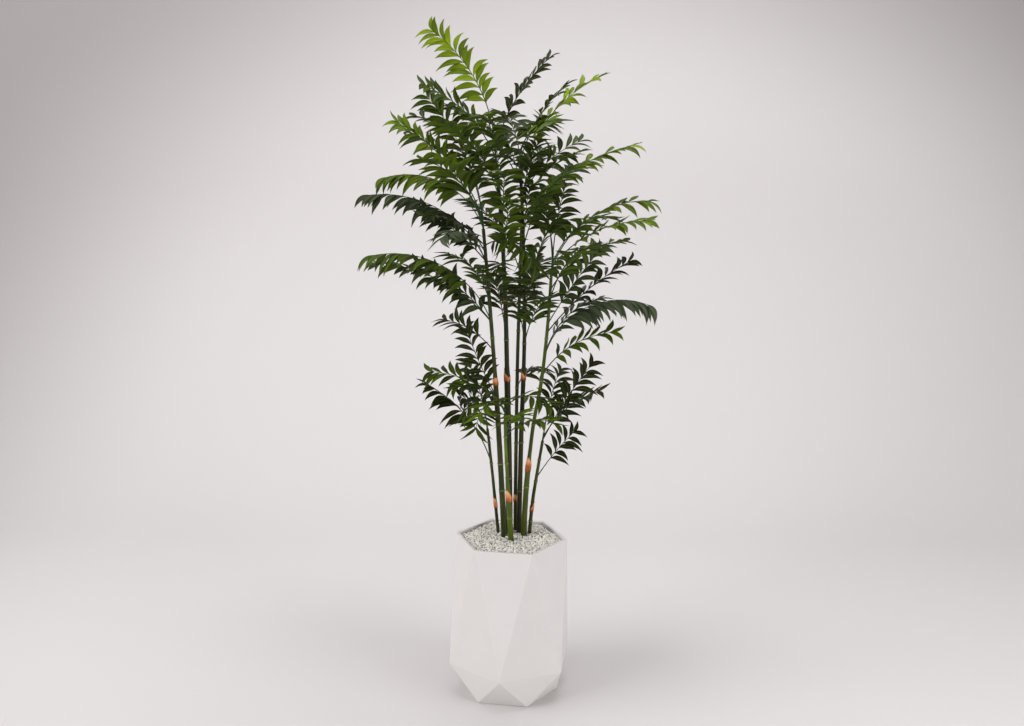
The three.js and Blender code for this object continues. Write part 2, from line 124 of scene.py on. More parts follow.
class Builder:  # points, faces and per-point values of one mesh, in millimetres
    def __init__(self):
        self.points = []
        self.faces = []
        self.slots = []
        self.values = {}

    def add(self, point, **values):
        index = len(self.points)
        self.points.append(point)
        for name, value in values.items():
            self.values.setdefault(name, {})[index] = value
        return index

    def face(self, corners, slot=0):
        self.faces.append(corners)
        self.slots.append(slot)

    def mark(self, name, value):  # one value for every point so far
        self.values[name] = {i: value for i in range(len(self.points))}

    def ring(self, lower, upper, slot=0):
        count = len(lower)
        for i in range(count):
            j = (i + 1) % count
            self.face((lower[i], lower[j], upper[j], upper[i]), slot)

    def piece(self, name, materials):
        mesh = bpy.data.meshes.new(name)
        mesh.from_pydata([tuple(p * mm) for p in self.points], [], self.faces)
        for material in materials:
            mesh.materials.append(material)
        mesh.polygons.foreach_set("material_index", self.slots)
        mesh.polygons.foreach_set("use_smooth", [True] * len(self.faces))
        for key, known in self.values.items():
            attribute = mesh.attributes.new(key, "FLOAT", "POINT")
            attribute.data.foreach_set("value", [known.get(i, 0.0) for i in range(len(self.points))])
        mesh.update()
        obj = bpy.data.objects.new(name, mesh)
        bpy.context.scene.collection.objects.link(obj)
        return obj


def keep(piece, slot, *nodes):
    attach(piece, root)
    if nodes:
        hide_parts(*nodes)


# The camera stands where the photograph was taken from

view = {
    "lens": 33.7,
    "sensor": 36,
    "distance": 2544,
    "height": 1378,
    "aside": -3,
    "lookDown": 9.94,  # degrees
    "roll": 0.65,
}


def addCamera():
    data = bpy.data.cameras.new("camera")
    data.lens = view["lens"]
    data.sensor_width = view["sensor"]
    data.sensor_fit = "HORIZONTAL"
    camera = bpy.data.objects.new("camera", data)
    pitch = math.radians(view["lookDown"])
    roll = math.radians(view["roll"])
    ahead = Vector((0, math.cos(pitch), -math.sin(pitch)))
    level = Vector((1, 0, 0))
    above = level.cross(ahead)
    right = level * math.cos(roll) + above * math.sin(roll)
    up = above * math.cos(roll) - level * math.sin(roll)
    turn = Matrix((right, up, -ahead)).transposed().to_4x4()
    place = Vector((view["aside"], -view["distance"], view["height"])) * mm
    camera.matrix_world = Matrix.Translation(place) @ turn
    bpy.context.scene.collection.objects.link(camera)
    bpy.context.scene.camera = camera


addCamera()


# Studio: a pale paper sweep and soft boxes

studio = {
    "paper": "#D5D1D0",
    # painted shade: the paper's colour where it is darkest, towards its corners
    "corner": "#A9A4A3",
    "sweepRadius": 1400,
    "sweepSteps": 12,
    "behind": 2600,
    "halfWidth": 6000,
    "inFront": 5000,
    "wallTop": 6000,
    # painted light: the paper is palest round this point
    "brightSpot": (600, 1300, 500),
    "falloff": (0.7, 0.6, 1.15),  # how fast the painted shade darkens the paper along X, Y and Z
    "fades": (1600, 3000),  # where the painted shade starts, and where it is darkest
    "air": "#F4F3F4",
    "airStrength": 0.09,
}


def addBackdrop():
    material, shader = newMaterial("backdropPaper", 0.9)  # matt seamless paper, with painted shade that darkens it towards its corners
    spot = addNode(material, "TexCoord", output="Object")
    pace = studio["falloff"]
    middle = [side * mm * share for side, share in zip(studio["brightSpot"], pace)]
    paced = addNode(material, "VectorMath", {0: spot, 1: pace}, operation="MULTIPLY")
    away = addNode(material, "VectorMath", {0: paced, 1: middle}, "Value", operation="DISTANCE")
    near, far = (side * mm for side in studio["fades"])
    reach = {"Value": away, "From Min": near, "From Max": far}
    shade = addNode(material, "MapRange", reach, interpolation_type="SMOOTHSTEP")
    # painted shade: the paper goes darker away from the bright spot
    colours = {0: shade, 6: linear(studio["paper"]), 7: linear(studio["corner"])}
    tone = addNode(material, "Mix", colours, 2, data_type="RGBA")
    back = addNode(material, "NewGeometry", output="Backfacing")
    seen = addNode(material, "Math", {0: 1.0, 1: back}, operation="SUBTRACT")
    connect(material, shader, {"Base Color": tone, "Specular IOR Level": 0.2})
    connect(material, shader, {"Alpha": seen})  # the paper's back is clear: the palm shows from behind
    sheet = Builder()
    profile = [(-studio["inFront"], 0)]
    radius = studio["sweepRadius"]
    start = studio["behind"] - radius
    for step in range(studio["sweepSteps"] + 1):
        angle = math.pi / 2 * step / studio["sweepSteps"]
        profile.append((start + radius * math.sin(angle), radius * (1 - math.cos(angle))))
    profile.append((studio["behind"], studio["wallTop"]))
    width = studio["halfWidth"]
    rows = [(sheet.add(Vector((-width, y, z))), sheet.add(Vector((width, y, z)))) for y, z in profile]
    for low, high in zip(rows, rows[1:]):
        sheet.face((low[0], low[1], high[1], high[0]))
    sheet.piece("backdrop", [material])


softBoxes = {  # place and aim in metres, size in metres, power in watts
    "key": {"place": (-4.6, -2.0, 3.2), "aim": (0, 0, 0.9), "size": 4.2, "power": 240, "tint": "#FEFEFF"},
    "top": {"place": (0.2, 0.2, 4.2), "aim": (0, 0, 0.8), "size": 2.8, "power": 96, "tint": "#FCFDFF"},
    "fill": {"place": (3.4, -2.1, 1.6), "aim": (0, 0, 0.7), "size": 2.6, "power": 92, "tint": "#FEFEFF"},
    "wall": {"place": (0.4, 0.6, 4.4), "aim": (0.4, 2.6, 1.0), "size": 2.6, "power": 12, "tint": "#FFFFFF"},
    "low": {"place": (-0.4, -3.4, 0.95), "aim": (0, 0, 0.1), "size": 1.5, "power": 16, "tint": "#FEFEFF"},
}


def addLights():
    for name, box in softBoxes.items():
        data = bpy.data.lights.new(name, "AREA")
        data.shape = "SQUARE"
        data.size = box["size"]
        data.energy = box["power"]
        data.color = linear(box["tint"])[:3]
        lamp = bpy.data.objects.new(name, data)
        place = Vector(box["place"])
        lamp.location = place
        lamp.rotation_euler = (Vector(box["aim"]) - place).to_track_quat("-Z", "Y").to_euler()
        bpy.context.scene.collection.objects.link(lamp)
    world = bpy.data.worlds.new("studioAir")
    world.use_nodes = True
    background = world.node_tree.nodes["Background"]
    background.inputs["Color"].default_value = linear(studio["air"])
    background.inputs["Strength"].default_value = studio["airStrength"]
    bpy.context.scene.world = world
    bpy.context.scene.view_settings.view_transform = "Standard"


addBackdrop()
addLights()
print("studio set")


# Planter: rotomoulded resin, sprayed satin white

planter = {
    "corners": 6,
    "turn": -38.7,  # degrees from -Y towards +X, to the first corner of the rim
    "height": 445,
    "footRadius": 136,
    "shoulderRadius": 180,
    "shoulderHeight": 96,
    "rimRadius": 156,
    "wall": 8,
    "innerFloor": 410,  # just under the gravel
    "flare": 2,  # how much wider the inside gets on the way down to the shoulder
    "edgeRound": 1.6,
    "roundSteps": 3,
    "leastEdge": 4,  # degrees; flatter edges are left as they are
}
halfSide = 180 / planter["corners"]  # degrees
innerRadius = planter["rimRadius"] - planter["wall"] / math.cos(math.radians(halfSide))


def makePlanterPaint():
    material, shader = newMaterial("satinWhitePaint", 0.42, 1.48)  # sprayed on resin: broad soft glints
    cloud = addNode(material, "ValToRGB", {0: patches(material, 70, 2.0)},
                    stops=[(0.3, "#DCD8D6"), (0.7, "#DEDAD8")])
    peel = {"Height": patches(material, 3.5, 1.0), "Distance": 0.05 * mm, "Strength": 0.5}
    faint = addNode(material, "Bump", peel)  # orange peel of the spray
    connect(material, shader, {"Base Color": cloud, "Normal": faint})
    connect(material, shader, {"Coat Weight": 0.1, "Coat Roughness": 0.3})
    return material


def hexRing(radius, height, turn):
    places = [math.radians(turn + 2 * halfSide * i) for i in range(planter["corners"])]
    return [Vector((radius * math.sin(a), -radius * math.cos(a), height)) for a in places]


def makePlanter(paint):
    corners = planter["corners"]
    shell = bmesh.new()

    def ring(radius, height, extra=0.0):
        return [shell.verts.new(p * mm) for p in hexRing(radius, height, planter["turn"] + extra)]

    depth = (planter["height"] - planter["innerFloor"]) / (planter["height"] - planter["shoulderHeight"])
    foot = ring(planter["footRadius"], 0)
    shoulder = ring(planter["shoulderRadius"], planter["shoulderHeight"], halfSide)
    rim = ring(planter["rimRadius"], planter["height"])
    mouth = ring(innerRadius, planter["height"])
    inner = ring(innerRadius + depth * planter["flare"], planter["innerFloor"])
    shell.faces.new(list(reversed(foot)))
    for lower, upper, shift in ((foot, shoulder, 0), (shoulder, rim, 1)):
        for i in range(corners):
            j = (i + 1) % corners
            a, b = lower[i], lower[j]
            c, d = upper[(i + shift) % corners], upper[(j + shift) % corners]
            shell.faces.new((a, b, c))
            shell.faces.new((b, d, c))
    for lower, upper in ((rim, mouth), (mouth, inner)):
        for i in range(corners):
            j = (i + 1) % corners
            shell.faces.new((lower[i], lower[j], upper[j], upper[i]))
    shell.faces.new(inner)
    bmesh.ops.recalc_face_normals(shell, faces=shell.faces)
    mesh = bpy.data.meshes.new("planter_shell")
    shell.to_mesh(mesh)
    shell.free()
    mesh.materials.append(paint)
    mesh.polygons.foreach_set("use_smooth", [True] * len(mesh.polygons))
    piece = bpy.data.objects.new("planter_shell", mesh)
    bpy.context.scene.collection.objects.link(piece)
    soften = piece.modifiers.new("rounded edges", "BEVEL")
    soften.width = planter["edgeRound"] * mm
    soften.segments = planter["roundSteps"]
    soften.limit_method = "ANGLE"
    soften.angle_limit = math.radians(planter["leastEdge"])
    soften.harden_normals = True
    keep(piece, "planter", "planter")


makePlanter(makePlanterPaint())
print("planter made")


# Gravel: crushed white marble, tumbled

gravel = {
    "pitch": 5.1,
    "rowPitch": 0.866,  # of the pitch, so that the rows nest
    "layerShift": (0.5, 0.4),  # of the pitch
    "shake": 0.36,  # of the pitch
    "stone": 2.5,  # mean half size
    "sizes": (0.75, 1.25),  # smallest and largest, as shares of that
    "stretch": ((0.85, 1.3), (0.75, 1.05), (0.55, 0.85)),  # along a stone's three axes
    "turns": 6.28,  # radians
    "bumps": 0.28,
    "bumpScale": 1.7,
    "top": 438,
    "uneven": 1.6,
    "layerDrop": 4.2,
    "paleness": 0.75,  # under 1, more stones are pale than dark
    "shade": 0.5,  # painted shade: how much darker the lower layer is
    "bed": 431.5,
    "bedDepth": 6,
    "bedGap": 0.5,
    "clearOfWall": 5,
    "fineness": (2, 1),  # of the stones in the upper layer and in the lower one
    "seed": 7,
}


def makeMarble():
    material, shader = newMaterial("tumbledMarble", 0.72, 1.5)  # matt chips, chalky where they are broken
    tone = addNode(material, "Attribute", output="Fac", attribute_name="tone")
    base = addNode(material, "ValToRGB", {0: tone}, stops=[
        (0.0, "#5A5146"), (0.16, "#B8B0A2"), (0.3, "#F0EADF"), (1.0, "#FFFCF5")])
    grain = patches(material, 1.6, 4.0)
    dust = addNode(material, "Math", {0: grain, 1: 0.25}, operation="MULTIPLY")
    dusty = addNode(material, "Mix", {0: dust, 6: base, 7: linear("#FBFAF7")}, 2, data_type="RGBA")
    pits = addNode(material, "Bump", {"Height": grain, "Distance": 0.25 * mm, "Strength": 0.7})
    connect(material, shader, {"Base Color": dusty, "Normal": pits})
    return material


def makeGravelBed():
    material, shader = newMaterial("gritInPaintedShade", 0.95, 1.5)  # marble grit, darkened with painted shade between the chips
    shadedGrit = addNode(material, "ValToRGB", {0: patches(material, 1.5, 4.0)},
                   stops=[(0.35, "#38342C"), (0.65, "#6A6459")])
    connect(material, shader, {"Base Color": shadedGrit})
    return material


def insideWall(x, y):
    reach = innerRadius * math.cos(math.radians(halfSide)) - gravel["clearOfWall"]
    for side in range(planter["corners"]):
        angle = math.radians(planter["turn"] + halfSide * (2 * side + 1))
        if x * math.sin(angle) - y * math.cos(angle) > reach:
            return False
    return True


def stoneShape(level):
    shape = bmesh.new()
    bmesh.ops.create_icosphere(shape, subdivisions=level, radius=1.0)
    points = [v.co.copy() for v in shape.verts]
    faces = [tuple(v.index for v in f.verts) for f in shape.faces]
    shape.free()
    return points, faces


def makeGravel(marble, shadedGrit, feet):  # feet: the middle and the radius of each cane at the stones' level
    draw = random.Random(gravel["seed"])
    stones = Builder()
    pitch, shake = gravel["pitch"], gravel["shake"]
    aside, ahead = gravel["layerShift"]
    count = int(2 * innerRadius / pitch) + 2
    for layer, fineness in enumerate(gravel["fineness"]):
        points, faces = stoneShape(fineness)
        for row in range(-count, count):
            for column in range(-count, count):
                x = (column + 0.5 * (row % 2) + aside * layer + draw.uniform(-shake, shake)) * pitch
                y = (row * gravel["rowPitch"] + ahead * layer + draw.uniform(-shake, shake)) * pitch
                size = gravel["stone"] * draw.uniform(*gravel["sizes"])
                turn = draw.uniform(0, gravel["turns"])
                axis = Vector((draw.random(), draw.random(), 1)).normalized()
                spin = Matrix.Rotation(turn, 3, axis)
                stretch = Vector([draw.uniform(*limits) for limits in gravel["stretch"]])
                tilt = draw.uniform(-gravel["uneven"], gravel["uneven"])
                # painted shade darkens the stones of the lower layer
                tone = draw.random() ** gravel["paleness"] * (1 - gravel["shade"] * layer)
                if not insideWall(x, y):
                    continue
                if any((x - foot[0]) ** 2 + (y - foot[1]) ** 2 < (foot[2] + size) ** 2 for foot in feet):
                    continue
                base = len(stones.points)
                middle = Vector((x, y, gravel["top"] + tilt - gravel["layerDrop"] * layer))
                for p in points:
                    bump = 1 + gravel["bumps"] * noise.noise(p * gravel["bumpScale"] + middle)
                    stones.add(middle + spin @ (p * stretch) * (size * bump), tone=tone)
                for face in faces:
                    stones.face(tuple(base + i for i in face))
    keep(stones.piece("gravel_stones", [marble]), "gravel")
    bed = Builder()
    wide = innerRadius - gravel["bedGap"]
    rim = [bed.add(p) for p in hexRing(wide, gravel["bed"], planter["turn"])]
    low = [bed.add(p) for p in hexRing(wide, gravel["bed"] - gravel["bedDepth"], planter["turn"])]
    bed.ring(low, rim)
    bed.face(tuple(rim))
    bed.face(tuple(reversed(low)))
    keep(bed.piece("gravel_bed", [shadedGrit]), "gravel", "gravel")


# Canes: smooth green stems with pale leaf scars
# Each has points up its middle, its radius at some heights, the heights of its rings and sheaths, its tone
# from dark to bright, and how brown its foot is.

canes = {
    "a": {
        "line": [(-36, 50, 430), (-52, 45, 588), (-65, 40, 707), (-69, 38, 740)],
        "thickness": [(430, 4.8), (740, 3.8)],
        "rings": [640, 700],
        "sheaths": [(508, 545)],
        "tone": 0.35, "brown": 0.8,
    },
    "b": {
        "line": [(-19, 15, 430), (-27, 12, 571), (-36, 8, 718), (-47, 4, 880), (-65, -4, 1102),
                 (-82, -8, 1290)],
        "thickness": [(430, 8.2), (880, 6.8), (900, 5.6), (1290, 4.4)],
        "rings": [572, 648, 790, 1000, 1130],
        "sheaths": [(868, 893)],
        "tone": 0.35, "brown": 0.1,
    },
    "c": {
        "line": [(0, -15, 430), (-8, -22, 560), (-17, -30, 695), (-20, -38, 800)],
        "thickness": [(430, 7.8), (570, 7.2), (590, 4.6), (800, 4)],
        "rings": [502, 660, 735],
        "sheaths": [(548, 585)],
        "tone": 0.7, "brown": 0.1,
    },
    "d": {
        "line": [(-5, 38, 430), (-8, 36, 590), (-16, 32, 893), (-23, 30, 1100), (-35, 28, 1300),
                 (-50, 25, 1460)],
        "thickness": [(430, 10), (740, 9), (893, 8), (915, 6.6), (1460, 4.8)],
        "rings": [600, 745, 990, 1230, 1360],
        "sheaths": [(873, 912), (1094, 1106)],
        "tone": 0.2, "brown": 0.0,
    },
    "e": {
        "line": [(12, 65, 430), (11, 68, 545), (12, 73, 900), (16, 80, 1150), (20, 86, 1350)],
        "thickness": [(430, 5.6), (1350, 4.2)],
        "rings": [690, 850, 1010, 1170],
        "sheaths": [(520, 545)],
        "tone": 0.3, "brown": 0.2,
    },
    "f": {
        "line": [(22, 46, 430), (25, 47, 718), (29, 48, 893), (30, 48, 1020), (24, 46, 1250),
                 (13, 42, 1460)],
        "thickness": [(430, 7), (893, 6.2), (915, 5.4), (1460, 4.2)],
        "rings": [560, 700, 978, 1110, 1260, 1380],
        "sheaths": [(875, 912)],
        "tone": 0.08, "brown": 0.1,
    },
    "g": {
        "line": [(35, 22, 430), (39, 20, 548), (46, 17, 647), (58, 12, 763), (77, 5, 882), (90, -3, 1020),
                 (99, -8, 1180)],
        "thickness": [(430, 8), (640, 7.4), (668, 5.4), (1180, 4)],
        "rings": [580, 760, 882, 1000, 1100],
        "sheaths": [(624, 667)],
        "tone": 0.6, "brown": 0.1,
    },
    "h": {
        "line": [(51, 41, 430), (59, 40, 530), (67, 38, 591), (75, 35, 647), (84, 30, 710)],
        "thickness": [(430, 5.4), (710, 4)],
        "rings": [474, 591, 655],
        "sheaths": [(500, 532)],
        "tone": 0.45, "brown": 0.6,
    },
}

caneShape = {
    "sides": 14,
    "step": 14,
    "foot": 400,  # under the gravel
    "ringSwell": 1.2,
    "ringSpread": 2.4,
    "ringLevels": (-6, -3.2, -1.6, -0.7, 0, 0.7, 1.6, 3.2, 6),  # finer steps round a ring
    "ringClear": 8,
    "scarSpread": 1.1,
    "scarTone": 0.85,
    "brownFrom": 430,
    "brownHeight": 110,
    "brownCurve": 0.7,
    "wobble": 0.12,
    "dent": 0.25,
    "dentsAround": 2,
    "dentHeight": 45,
    "stemShare": 0.62,  # the crown stem's radius, as a share of the cane's
    "stemTip": 2.6,
    "stemBeyond": 6,
    "stemSides": 10,
    "stemSunk": 8,
    "stemTone": 0.4,
}


def stepped(pairs, height):  # a value from (height, value) pairs, level beyond both ends
    for (low, start), (high, end) in zip(pairs, pairs[1:]):
        if height <= low:
            return start
        if height < high:
            return mix(start, end, (height - low) / (high - low))
    return pairs[-1][1]


def lineAt(line, height):  # a smooth curve through the line's points, straight beyond its ends
    def slope(index, axis):
        low, high = line[max(index - 1, 0)], line[min(index + 1, len(line) - 1)]
        return (high[axis] - low[axis]) / (high[2] - low[2])

    last = len(line) - 1
    if height <= line[0][2] or height >= line[last][2]:
        end = 0 if height <= line[0][2] else last
        x, y, z = line[end]
        return Vector((x + slope(end, 0) * (height - z), y + slope(end, 1) * (height - z), height))
    start = next(i for i, point in enumerate(line) if point[2] > height) - 1
    low, high = line[start], line[start + 1]
    span = high[2] - low[2]
    u = (height - low[2]) / span

    def along(axis):
        pull = (u ** 3 - 2 * u ** 2 + u) * slope(start, axis) + (u ** 3 - u ** 2) * slope(start + 1, axis)
        return mix(low[axis], high[axis], 3 * u ** 2 - 2 * u ** 3) + span * pull

    return Vector((along(0), along(1), height))


def makeCaneBark():
    material, shader = newMaterial("caneBark", 0.38, 1.45)  # waxy skin over fine lengthwise fibres
    tone, brown, scar = (addNode(material, "Attribute", output="Fac", attribute_name=name)
                         for name in ("tone", "brown", "scar"))
    mottle = patches(material, 26, 4.0, (1, 1, 0.35))
    fibres = patches(material, 1.2, 2.0, (1, 1, 0.03))
    spread = addNode(material, "Math", {0: mottle, 1: 0.9, 2: -0.47}, operation="MULTIPLY_ADD")
    shade = addNode(material, "Math", {0: tone, 1: spread}, operation="ADD")
    green = addNode(material, "ValToRGB", {0: shade}, stops=[
        (0.0, "#0F1507"), (0.35, "#26330A"), (0.7, "#4A5F10"), (1.0, "#728A22")])
    worn = addNode(material, "ValToRGB", {0: patches(material, 9, 3.0, (1, 1, 0.12))},
                   stops=[(0.42, "#000000"), (0.64, "#B4B4B4")])
    colour = green
    for share, over in ((worn, "#4F4A22"), (brown, "#3A2C18"), (scar, "#7F8A4C")):
        colour = addNode(material, "Mix", {0: share, 6: colour, 7: linear(over)}, 2, data_type="RGBA")
    grain = addNode(material, "Bump", {"Height": fibres, "Distance": 0.15 * mm, "Strength": 0.6})
    gloss = addNode(material, "Math", {0: mottle, 1: 0.25, 2: 0.26}, operation="MULTIPLY_ADD")
    connect(material, shader, {"Base Color": colour, "Normal": grain})
    connect(material, shader, {"Roughness": gloss, "Specular IOR Level": 0.3})
    return material


def caneLevels(cane, bottom, top):
    levels = {bottom, top}
    height = bottom
    while height < top:
        levels.add(height)
        height += caneShape["step"]
    for ring in cane["rings"]:
        levels = {z for z in levels if abs(z - ring) > caneShape["ringClear"]}
        levels |= {ring + offset for offset in caneShape["ringLevels"]}
    return sorted(z for z in levels if bottom <= z <= top)


def makeCane(letter, bark):
    cane = canes[letter]
    draw = random.Random("cane" + letter)
    top = cane["line"][-1][2]
    builder = Builder()
    sides = caneShape["sides"]
    previous = None
    for height in caneLevels(cane, caneShape["foot"], top):
        swell = scar = 0.0
        for ring in cane["rings"]:
            away = height - ring
            swell += caneShape["ringSwell"] * math.exp(-(away / caneShape["ringSpread"]) ** 2)
            scar = max(scar, caneShape["scarTone"] * math.exp(-(away / caneShape["scarSpread"]) ** 2))
        middle = lineAt(cane["line"], height)
        above = (height - caneShape["brownFrom"]) / caneShape["brownHeight"]
        brown = cane["brown"] * clamp(1 - above) ** caneShape["brownCurve"]
        wobble = draw.uniform(-caneShape["wobble"], caneShape["wobble"])
        radius = stepped(cane["thickness"], height) + swell + wobble
        lower = []
        for side in range(sides):
            angle = 2 * math.pi * side / sides
            arm = Vector((math.cos(angle), math.sin(angle), 0))
            spot = arm * caneShape["dentsAround"] + Vector((0, 0, height / caneShape["dentHeight"]))
            reach = radius + caneShape["dent"] * noise.noise(spot)
            lower.append(builder.add(middle + arm * reach, tone=cane["tone"], brown=brown, scar=scar))
        if previous:
            builder.ring(previous, lower)
        else:
            builder.face(tuple(reversed(lower)))
        previous = lower
    builder.face(tuple(previous))
    keep(builder.piece("bark_" + letter, [bark]), "cane", "cane_" + letter)


# Sheaths: dry papery fibre, torn at the mouth

sheath = {
    "sides": 22,
    "levels": 9,
    "wall": 1.0,
    "sunk": 0.1,  # how far its inside reaches into the bark
    "belly": 0.35,
    "bellyPace": 1.15,  # over 1, the belly ends below the mouth
    "flutes": 5,
    "fluteDepth": 0.21,
    "slant": 0.62,  # of the mouth, as a share of the height
    "ragged": 0.13,
    "edgeFrom": 0.42,  # from the middle, as a share of the height; dark edges start there
    "edgePace": 9,
    "faces": {"a1": 200, "b1": 280, "c1": 215, "d1": 150, "d2": 60, "e1": 240, "f1": 120, "g1": 250,
              "h1": 20},  # where the mouth's point is, in degrees from +X over +Y
}


def makeSheathFibre():
    material, shader = newMaterial("sheathFibre", 0.75, 1.45)  # sun-dried fibre, matt and streaked
    rise, edge = (addNode(material, "Attribute", output="Fac", attribute_name=name)
                  for name in ("rise", "edge"))
    threads = patches(material, 1.4, 3.0, (1, 1, 0.06))
    stains = patches(material, 12, 3.0)
    streaks = addNode(material, "Math", {0: threads, 1: 0.35}, operation="MULTIPLY")
    blotch = addNode(material, "Math", {0: stains, 1: 0.7, 2: streaks}, operation="MULTIPLY_ADD")
    lowered = addNode(material, "Math", {0: blotch, 1: 0.3}, operation="SUBTRACT")
    shade = addNode(material, "Math", {0: rise, 1: 0.5, 2: lowered}, operation="MULTIPLY_ADD")
    brown = addNode(material, "ValToRGB", {0: shade}, stops=[
        (0.15, "#6E3418"), (0.38, "#B26231"), (0.56, "#D38B52"), (0.75, "#E4B07A")])
    edged = addNode(material, "Mix", {0: edge, 6: brown, 7: linear("#6B3A1E")}, 2, data_type="RGBA")
    ribs = addNode(material, "Bump", {"Height": threads, "Distance": 0.35 * mm, "Strength": 0.8})
    connect(material, shader, {"Base Color": edged, "Normal": ribs})
    return material


def makeSheath(name, cane, span, fibre):
    draw = random.Random("sheath" + name)
    bottom, top = span
    facing = math.radians(sheath["faces"][name])
    builder = Builder()
    sides, levels = sheath["sides"], sheath["levels"]
    torn = [draw.uniform(-1, 1) * sheath["ragged"] for _ in range(sides)]
    bitten = [draw.uniform(0, 1) * sheath["ragged"] for _ in range(sides)]
    outer, inner = [], []
    for level in range(levels + 1):
        share = level / levels
        rings = ([], [])
        for side in range(sides):
            angle = 2 * math.pi * side / sides
            slant = sheath["slant"] * math.sin((angle - facing) / 2) ** 2
            start = bottom + (top - bottom) * bitten[side]
            end = top - (top - bottom) * clamp(slant + torn[side])
            height = mix(start, end, share)
            middle = lineAt(cane["line"], height)
            skin = stepped(cane["thickness"], height)
            belly = sheath["belly"] * math.sin(math.pi * clamp(share * sheath["bellyPace"]))
            flute = sheath["fluteDepth"] * math.sin(sheath["flutes"] * angle)
            arm = Vector((math.cos(angle), math.sin(angle), 0))
            edge = clamp((abs(share - 0.5) - sheath["edgeFrom"]) * sheath["edgePace"])
            marks = {"edge": edge, "rise": share}
            rings[0].append(builder.add(middle + arm * (skin + sheath["wall"] + belly + flute), **marks))
            rings[1].append(builder.add(middle + arm * (skin - sheath["sunk"]), **marks))
        outer.append(rings[0])
        inner.append(rings[1])
    for level in range(levels):
        builder.ring(outer[level], outer[level + 1])
        builder.ring(inner[level + 1], inner[level])
    builder.ring(outer[-1], inner[-1])
    builder.ring(inner[0], outer[0])
    keep(builder.piece("husk_" + name, [fibre]), "sheath", "sheath_" + name)


# Fronds: bent ribs with leaflets in pairs
# Each row: height of its root on the cane, azimuth, rise at the root, rise at the tip, petiole, blade, roll
# about its rib, lift of its leaflets, and how bright it is: partly the frond's own green, partly painted
# light and shade. Angles are in degrees, azimuth from +X over +Y.
# The rows of a crown make one piece, and so do those in one inner list of sideFronds, which share a root.

crowns = {
    "a": [
        (745, 228, 66, 20, 40, 115, -40, 8, 0.20),
        (752, 120, 74, 30, 60, 150, -30, 8, 0.25),
        (758, 262, 50, -40, 40, 160, 0, 0, 0.45),
    ],
    "b": [
        (1290, 182, 70, -22, 110, 225, 0, -45, 0.62),
        (1298, 196, 70, 26, 135, 230, -60, 8, 0.66),
        (1306, 226, 66, 4, 80, 205, 10, 8, 0.55),
        (1314, 148, 68, 14, 110, 260, 20, 10, 0.35),
        (1322, 108, 66, 6, 80, 240, 10, 8, 0.30),
        (1330, 172, 80, 46, 130, 220, -80, 8, 0.45),
    ],
    "c": [
        (800, 250, 50, -30, 40, 170, 15, 0, 0.55),
        (808, 220, 62, -10, 50, 150, -25, 8, 0.30),
        (816, 318, 50, -30, 40, 140, 10, 0, 0.40),
        (824, 215, 50, -60, 20, 130, 0, -10, 0.35),
    ],
    "d": [
        (1470, 205, 66, 14, 70, 220, -50, 8, 0.45),
        (1478, 262, 50, -10, 60, 200, 0, 8, 0.55),
        (1485, 176, 88, 32, 130, 255, -80, 6, 0.82),
        (1500, 8, 74, 42, 70, 215, 15, 8, 0.08),
    ],
    "e": [
        (1360, 75, 60, 0, 90, 230, 0, 8, 0.25),
        (1370, 110, 66, 12, 100, 260, 10, 8, 0.30),
        (1380, 15, 62, 20, 60, 170, 40, 8, 0.40),
        (1390, 158, 68, 20, 100, 250, 0, 8, 0.30),
    ],
    "f": [
        (1468, 318, 70, 30, 60, 190, 30, 8, 0.45),
        (1476, 106, 62, 0, 60, 200, 10, 8, 0.25),
        (1484, 66, 56, -10, 60, 190, 20, 8, 0.20),
        (1492, 290, 40, -14, 60, 200, 20, 8, 0.55),
    ],
    "g": [
        (1184, 2, 74, -8, 105, 255, 15, -5, 0.60),
        (1192, 344, 54, -4, 80, 225, 15, 0, 0.70),
        (1200, 300, 56, -6, 80, 230, 0, 8, 0.50),
        (1208, 95, 60, 6, 80, 220, 0, 8, 0.30),
        (1216, 70, 80, 40, 60, 170, 30, 8, 0.35),
        (1224, 252, 72, 10, 60, 180, 0, 8, 0.35),
    ],
    "h": [
        (712, 5, 64, 52, 60, 200, 75, 6, 0.10),
        (720, 322, 60, 20, 60, 190, 30, 8, 0.20),
        (728, 70, 66, 30, 70, 150, 10, 8, 0.15),
    ],
}

